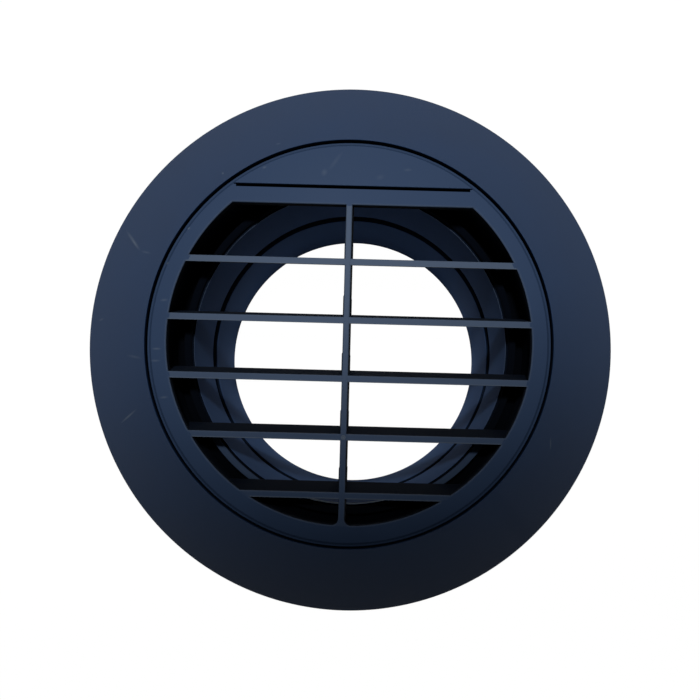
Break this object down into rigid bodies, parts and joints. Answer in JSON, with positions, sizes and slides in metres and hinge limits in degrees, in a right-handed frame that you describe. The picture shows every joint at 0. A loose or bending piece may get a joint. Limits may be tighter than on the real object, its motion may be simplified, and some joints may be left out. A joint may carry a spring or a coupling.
{
  "type": "heater air outlet vent",
  "caption": "Round warm-air outlet vent: conical flanged housing with a rear hose collar, and a fixed-slat louvre insert that snaps in and turns to aim the air.",
  "frame": {"origin": "centre of the hose collar's open end, on the vent axis", "axes": "+Z along the vent axis out of the face, +Y towards the louvre insert's blank segment, +X to the right seen from the front"},
  "size_m": [0.1, 0.1, 0.04],
  "materials": {
    "housing_plastic": "moulded blue-black plastic, fine matt grain",
    "insert_plastic": "moulded blue-black plastic, fine matt grain"
  },
  "bodies": {
    "housing": {"housing": "housing_plastic"},
    "insert": {"louvre_insert": "insert_plastic"}
  },
  "joints": [
    {"name": "insert_turn", "type": "hinge", "parent": "housing", "child": "insert", "pos_m": [0, 0, 0.0375], "axis": [0, 0, 1], "continuous": true}
  ]
}
